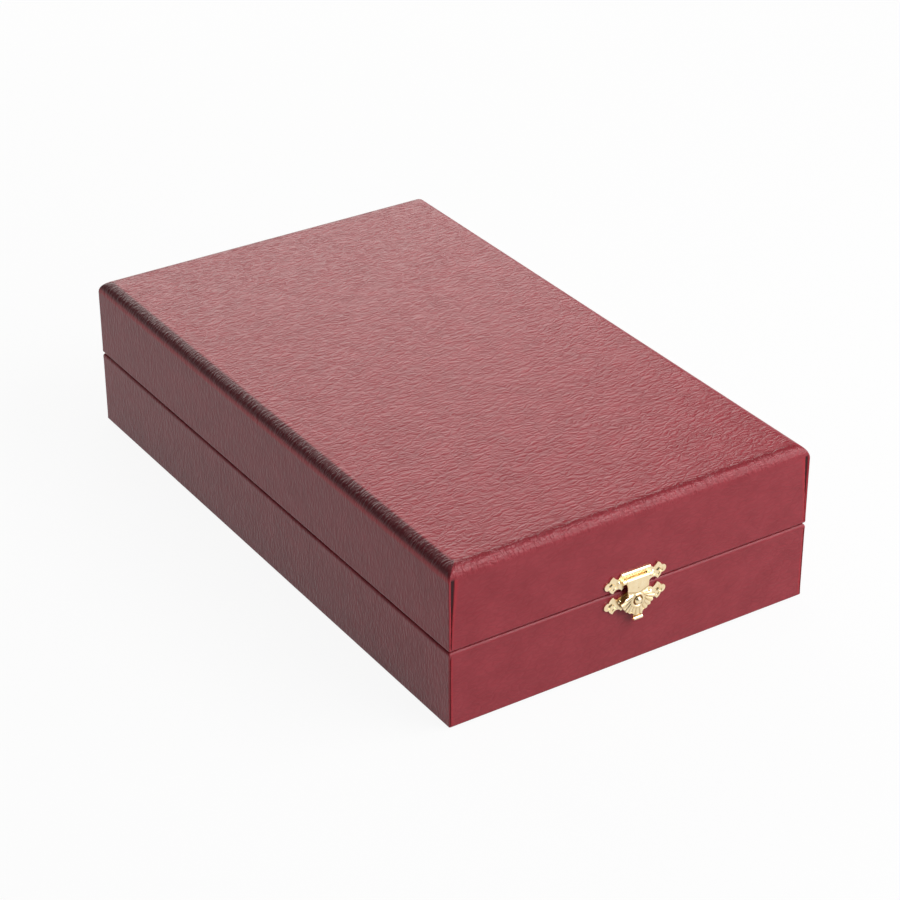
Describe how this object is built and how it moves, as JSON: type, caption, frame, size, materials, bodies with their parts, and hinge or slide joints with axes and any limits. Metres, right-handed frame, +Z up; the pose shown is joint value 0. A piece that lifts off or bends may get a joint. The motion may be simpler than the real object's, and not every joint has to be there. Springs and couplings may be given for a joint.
{
  "type": "plaque box",
  "caption": "Shallow leatherette presentation box with a hinged lid, a recessed velvet bed for a plaque and a pressed scallop-shell hasp on its short front.",
  "frame": {"origin": "centre of the underside, where the box rests", "axes": "+Z up through the lid, +Y from the clasp to the hinges, +X to the right seen from the clasp"},
  "size_m": [0.16, 0.2789, 0.0664],
  "materials": {
    "leatherette": "burgundy leatherette, fine grain, soft sheen",
    "underside_paper": "black flocked paper",
    "velvet": "short burgundy velvet",
    "satin": "ivory satin",
    "gold_brass": "polished pale gold plate",
    "board": "fibreboard, hidden"
  },
  "bodies": {
    "base": {"base_bottom_panel": "board", "base_front_wall": "board", "base_back_wall": "board", "base_left_wall": "board", "base_right_wall": "board", "base_wrap": "leatherette", "base_underside_sheet": "underside_paper", "base_front_liner": "velvet", "base_back_liner": "velvet", "base_left_liner": "velvet", "base_right_liner": "velvet", "plaque_bed": "velvet", "recess_floor": "velvet", "recess_pad": "velvet", "bed_runners": "board", "clasp_lower_plate": "gold_brass", "clasp_stud": "gold_brass", "clasp_lower_nails": "gold_brass", "base_hinge_leaf_left": "gold_brass", "base_hinge_leaf_right": "gold_brass", "hinge_pin_left": "gold_brass", "hinge_pin_right": "gold_brass", "base_hinge_nails": "gold_brass"},
    "lid": {"lid_top_board": "board", "lid_front_wall": "board", "lid_back_wall": "board", "lid_left_wall": "board", "lid_right_wall": "board", "lid_wrap": "leatherette", "lid_front_liner": "satin", "lid_back_liner": "satin", "lid_left_liner": "satin", "lid_right_liner": "satin", "lid_pad": "satin", "clasp_upper_plate": "gold_brass", "clasp_upper_nails": "gold_brass", "hasp_pin": "gold_brass", "lid_hinge_leaf_left": "gold_brass", "lid_hinge_leaf_right": "gold_brass", "lid_hinge_nails": "gold_brass"},
    "hasp": {"hasp": "gold_brass"}
  },
  "joints": [
    {"name": "lid_hinge", "type": "hinge", "parent": "base", "child": "lid", "pos_m": [0, 0.13655, 0.03255], "axis": [-1, 0, 0], "range_deg": [0, 95]},
    {"name": "hasp_hinge", "type": "hinge", "parent": "lid", "child": "hasp", "pos_m": [0, -0.1365, 0.03675], "axis": [-1, 0, 0], "range_deg": [0, 150]}
  ]
}
